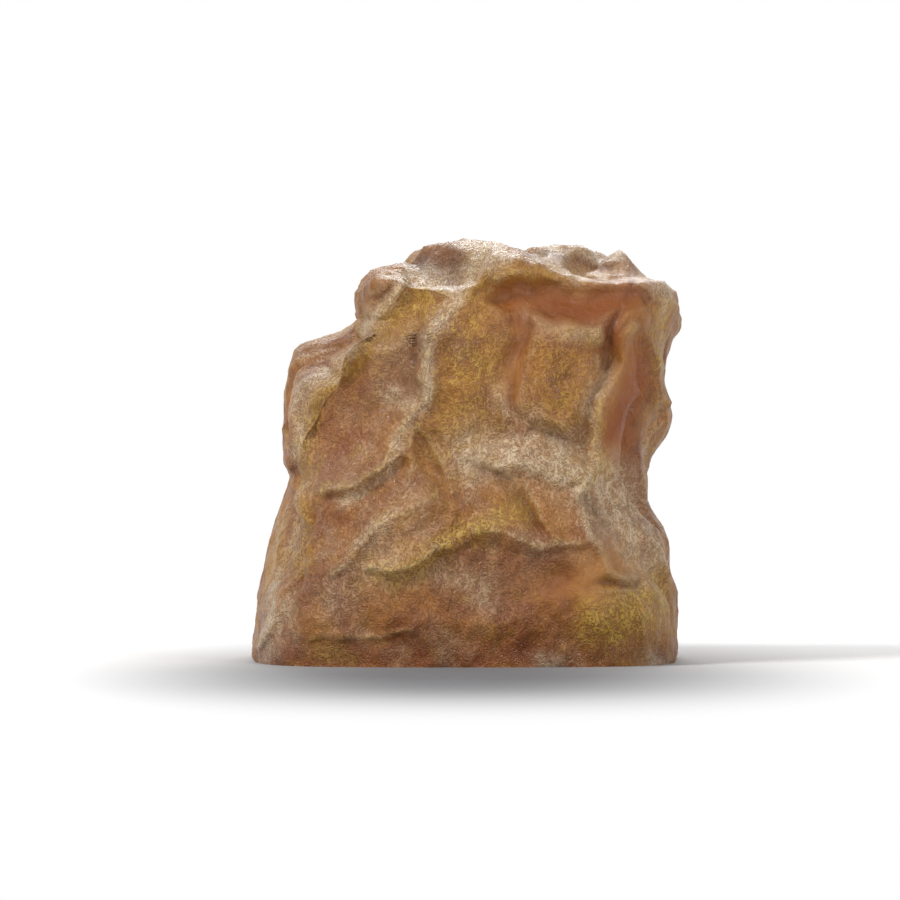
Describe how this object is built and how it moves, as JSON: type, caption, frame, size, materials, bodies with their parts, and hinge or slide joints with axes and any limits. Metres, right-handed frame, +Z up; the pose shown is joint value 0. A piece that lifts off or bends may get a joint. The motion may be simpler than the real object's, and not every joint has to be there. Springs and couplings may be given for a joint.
{
  "type": "garden speaker",
  "caption": "Loudspeaker for the garden, moulded as a brown, craggy boulder, with a round grille on the far side and a cable gland underneath.",
  "frame": {"origin": "middle of the rock's outline on the ground, at the plane it stands on", "axes": "+Z up; -Y out of the plain rock face that the picture shows; +Y out of the grille side; +X to the right as the plain face is seen"},
  "size_m": [0.3033, 0.2861, 0.3],
  "materials": {
    "rock_resin": "textured, dry-brushed stone colours, satin",
    "grille_paint": "powder coat",
    "black_screw": "blackened",
    "black_rubber": "matte",
    "basket_paint": "satin",
    "cone_pulp": "pressed pulp, matte",
    "former_film": "amber film",
    "copper": "enamelled copper wire",
    "spider_cloth": "resin-treated weave",
    "zinc_steel": "zinc plated",
    "ferrite": "sintered, matte",
    "black_plastic": "fine grain",
    "dome_silk": "coated weave",
    "tag_board": "laminate",
    "tag_brass": "plain",
    "plate_plastic": "moulded, fine grain",
    "board_laminate": "solder mask",
    "film_yellow": "wrapped film",
    "film_red": "dipped",
    "white_ceramic": "unglazed",
    "green_plastic": "moulded",
    "red_sleeve": "smooth",
    "black_sleeve": "smooth",
    "grey_sleeve": "smooth"
  },
  "bodies": {
    "enclosure": {"rock_shell": "rock_resin", "grille": "grille_paint", "grille_screws": "black_screw", "driver_gasket": "black_rubber", "driver_screws": "black_screw", "basket": "basket_paint", "surround": "black_rubber", "spider": "spider_cloth", "top_plate": "zinc_steel", "magnet": "ferrite", "back_plate": "zinc_steel", "tweeter_post": "zinc_steel", "post_nut": "zinc_steel", "tweeter_housing": "black_plastic", "tweeter_pot": "zinc_steel", "tweeter_magnet": "zinc_steel", "tweeter_dome": "dome_silk", "tag_strip": "tag_board", "tag_terminals": "tag_brass", "tag_rivets": "zinc_steel", "tinsel_leads": "copper", "base_plate": "plate_plastic", "base_gasket": "black_rubber", "base_screws": "zinc_steel", "gland_body": "black_plastic", "gland_seal": "black_rubber", "gland_cap": "black_plastic", "gland_washer": "black_rubber", "gland_locknut": "black_plastic", "crossover_board": "board_laminate", "board_screws": "zinc_steel", "inductor_bobbin": "black_plastic", "inductor_coil": "copper", "large_capacitor": "film_yellow", "small_capacitor": "film_red", "resistor": "white_ceramic", "terminal_block": "green_plastic", "terminal_screws": "zinc_steel", "lead_connectors": "tag_brass", "woofer_lead_red": "red_sleeve", "woofer_lead_black": "black_sleeve", "tweeter_leads": "grey_sleeve"},
    "cone_assembly": {"cone": "cone_pulp", "voice_coil_former": "former_film", "voice_coil": "copper"}
  },
  "joints": [
    {"name": "cone_travel", "type": "slide", "parent": "enclosure", "child": "cone_assembly", "axis": [0, 0.9903, 0.1392], "range_m": [-0.004, 0.004], "stiffness_N_per_m": 1900, "deforming": ["surround", "spider", "tinsel_leads"]}
  ]
}
